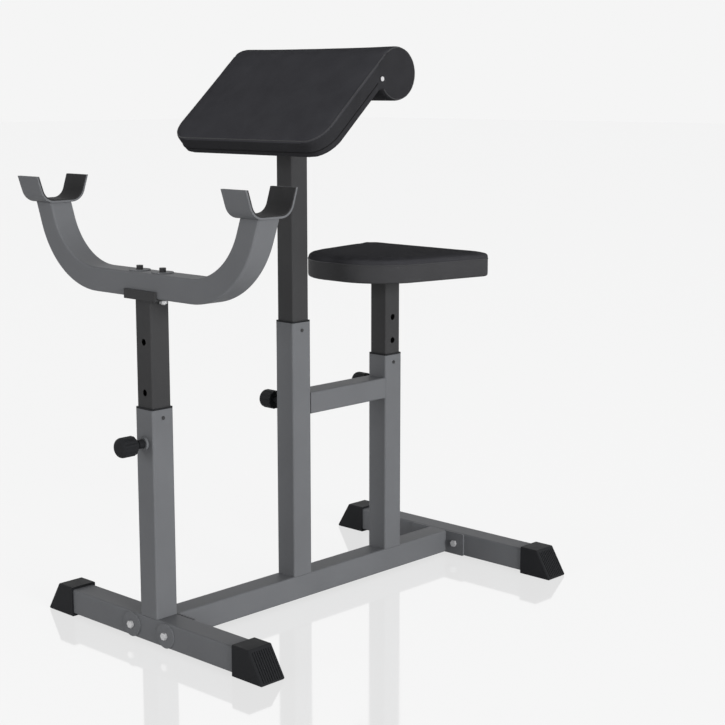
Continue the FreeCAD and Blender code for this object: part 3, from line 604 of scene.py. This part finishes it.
def welt(name, line, body, finish=welt_vinyl):
    """A thin round strip along a line, riding on a body."""
    piece = bpy.data.objects.new(name, line)
    bpy.context.scene.collection.objects.link(piece)
    bpy.context.view_layer.objects.active = piece
    bpy.ops.object.select_all(action="DESELECT")
    piece.select_set(True)
    bpy.ops.object.convert(target="CURVE")
    piece.data.bevel_depth = welt_radius
    piece.data.bevel_resolution = 2
    bpy.ops.object.convert(target="MESH")
    piece.data.materials.clear()
    piece.data.materials.append(finish)
    for polygon in piece.data.polygons:
        polygon.use_smooth = True
    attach(piece, body)
    return piece


print("welt helpers ready")

# %% Sew the welts on
# A welt lies this deep in the rounded fold at the edge of its panel.
fold_depth = 0.0016
clear_of_slab = 0.003
across_x = Vector((1, 0, 0))
across_z = Vector((0, 0, 1))
slab_line = cut_line(pad_cover, across_z * (slab_top - fold_depth), across_z, lambda point: point[1] < 0)
# The welt along the board is made of the dark underside sheet: a painted shadow line.
board_shadow_line = cut_line(pad_cover, across_z * slab_seam, across_z, lambda point: point[1] < -roll_radius)
pad_welts = [welt("pad_welt", slab_line, "arm_pad"),
             welt("board_painted_shadow_welt", board_shadow_line, "arm_pad", underside_and_shadow_vinyl)]
for side, sign in (("left", -1), ("right", 1)):
    end_line = cut_line(pad_cover, across_x * sign * (slab_side - fold_depth), across_x,
                        lambda point: point[1] > 0 or point[2] < slab_underside - clear_of_slab)
    pad_welts.append(welt(side + "_roll_welt", end_line, "arm_pad"))
seat_line = cut_line(seat_cover, across_z * seat_seam, across_z, lambda point: True)
seat_welt = welt("seat_welt", seat_line, "seat")
for piece in [pad_cover] + pad_welts:
    piece.data.transform(onto_slope)
print("welts:", [(piece.name, len(piece.data.polygons)) for piece in pad_welts + [seat_welt]])

# %% [markdown]
# ## Floor and background
# The bench stands on a pale, slightly glossy floor that runs into a pale background. The camera sees both
# at the same near white, so no horizon shows. A share of the floor is shaded as usual, so that it keeps a
# faint shadow, and a thin gloss gives the weak mirror image under the feet.

# %% Floor
pale = 0.913
glow_level = 0.96
glow_share = 0.9
gloss_share = 0.18
gloss_roughness = 0.06
floor_reach = 40
gap_under_feet = 0.0004


def pale_floor(name):
    finish = Finish(bpy.data.materials.new(name))
    clouds = finish.blotches(size=0.4, detail=2)
    paint = finish.node("ShaderNodeBsdfDiffuse", {},
                        {"Color": finish.tint(clouds, (0.90, 0.90, 0.90), (0.92, 0.92, 0.92))})
    glow = finish.node("ShaderNodeEmission", {}, {"Color": (1, 1, 1, 1), "Strength": glow_level})
    seen = finish.node("ShaderNodeLightPath", {}, {}, output="Is Camera Ray")
    lit = finish.node("ShaderNodeMixShader", {}, {0: seen * glow_share, 1: paint, 2: glow})
    gloss = finish.node("ShaderNodeBsdfGlossy", {},
                        {"Color": (1, 1, 1, 1), "Roughness": gloss_roughness})
    both = finish.node("ShaderNodeMixShader", {}, {0: gloss_share, 1: lit, 2: gloss})
    finish.node("ShaderNodeOutputMaterial", {}, {"Surface": both})
    return finish.owner


floor_shape = bmesh.new()
bmesh.ops.create_grid(floor_shape, x_segments=1, y_segments=1, size=floor_reach)
bmesh.ops.translate(floor_shape, verts=floor_shape.verts, vec=(0, 0, -gap_under_feet))
floor = bpy.data.objects.new("floor", bpy.data.meshes.new("floor"))
floor_shape.to_mesh(floor.data)
floor_shape.free()
floor.data.materials.append(pale_floor("pale_floor"))
bpy.context.scene.collection.objects.link(floor)
print("floor material:", floor.data.materials[0].name)

# %% [markdown]
# The room around the bench has white walls and a darker ceiling, so the light falls off upwards. What the
# camera sees, and what shines back from metal, is the pale background instead.

# %% World
world = bpy.data.worlds.new("pale_room")
bpy.context.scene.world = world
room = Finish(world)
direction = room.node("ShaderNodeTexCoord", {}, {}, output="Generated")
upwards = room.node("ShaderNodeSeparateXYZ", {}, {"Vector": direction}, output="Z")
wall_color = (0.60, 0.60, 0.605)
ceiling_color = (0.24, 0.24, 0.245)
surroundings = room.tint(upwards, wall_color, ceiling_color)
light = room.node("ShaderNodeBackground", {}, {"Color": surroundings, "Strength": 1.0})
backdrop = room.node("ShaderNodeBackground", {}, {"Color": (pale, pale, pale, 1), "Strength": 1.0})
seen = room.node("ShaderNodeLightPath", {}, {}, output="Is Camera Ray")
mirrored = room.node("ShaderNodeLightPath", {}, {}, output="Is Glossy Ray")
through = room.node("ShaderNodeLightPath", {}, {}, output="Is Transmission Ray")
room_light = room.node("ShaderNodeMixShader", {}, {0: seen + mirrored + through, 1: light, 2: backdrop})
room.node("ShaderNodeOutputWorld", {}, {"Surface": room_light})
print("world ready, pale level", pale)

# %% [markdown]
# ## Lamps
# The light is soft and comes mostly from the right, so the faces towards +X are the brightest, the fronts
# are a step darker and the tops are darker still. Two large area lamps stand low and far away, so that
# the light is even over the bench: a strong one on the right and a weaker one in front. The floor does
# not mirror them.

# %% Area lamps
def soft_lamp(name, place, aim, size, power):
    lamp = bpy.data.lights.new(name, "AREA")
    lamp.shape = "SQUARE"
    lamp.size = size
    lamp.energy = power
    stand = bpy.data.objects.new(name, lamp)
    stand.location = place
    stand.rotation_euler = (Vector(aim) - Vector(place)).to_track_quat("-Z", "Y").to_euler()
    stand.visible_camera = False
    stand.visible_glossy = False
    bpy.context.scene.collection.objects.link(stand)
    return stand


bench_middle = (0, 0, 0.55)
lamp_width = 4.8
lamps = [soft_lamp("right_lamp", (12.0, -2.0, 2.4), bench_middle, lamp_width, power=1680),
         soft_lamp("front_lamp", (-2.0, -12.0, 2.8), bench_middle, lamp_width, power=440)]
print("lamps:", [lamp.name for lamp in lamps])

# %% [markdown]
# ## Camera
# The camera looks from the front right corner, a little above the pad's middle and slightly down. Its
# place and lens were fitted to corners of the bench in the photograph.

# %% Camera
looks_down = 9.9
turned_left = 43.378
lens = bpy.data.cameras.new("photo_camera")
lens.sensor_width = 36
lens.lens = 78.07
camera = bpy.data.objects.new("photo_camera", lens)
camera.location = (2.253879, -2.214872, 1.042521)
camera.rotation_euler = (math.radians(90 - looks_down), 0, math.radians(turned_left))
bpy.context.scene.collection.objects.link(camera)
bpy.context.scene.camera = camera
bpy.context.scene.view_settings.view_transform = "Standard"
print("camera at", tuple(round(value, 3) for value in camera.location))
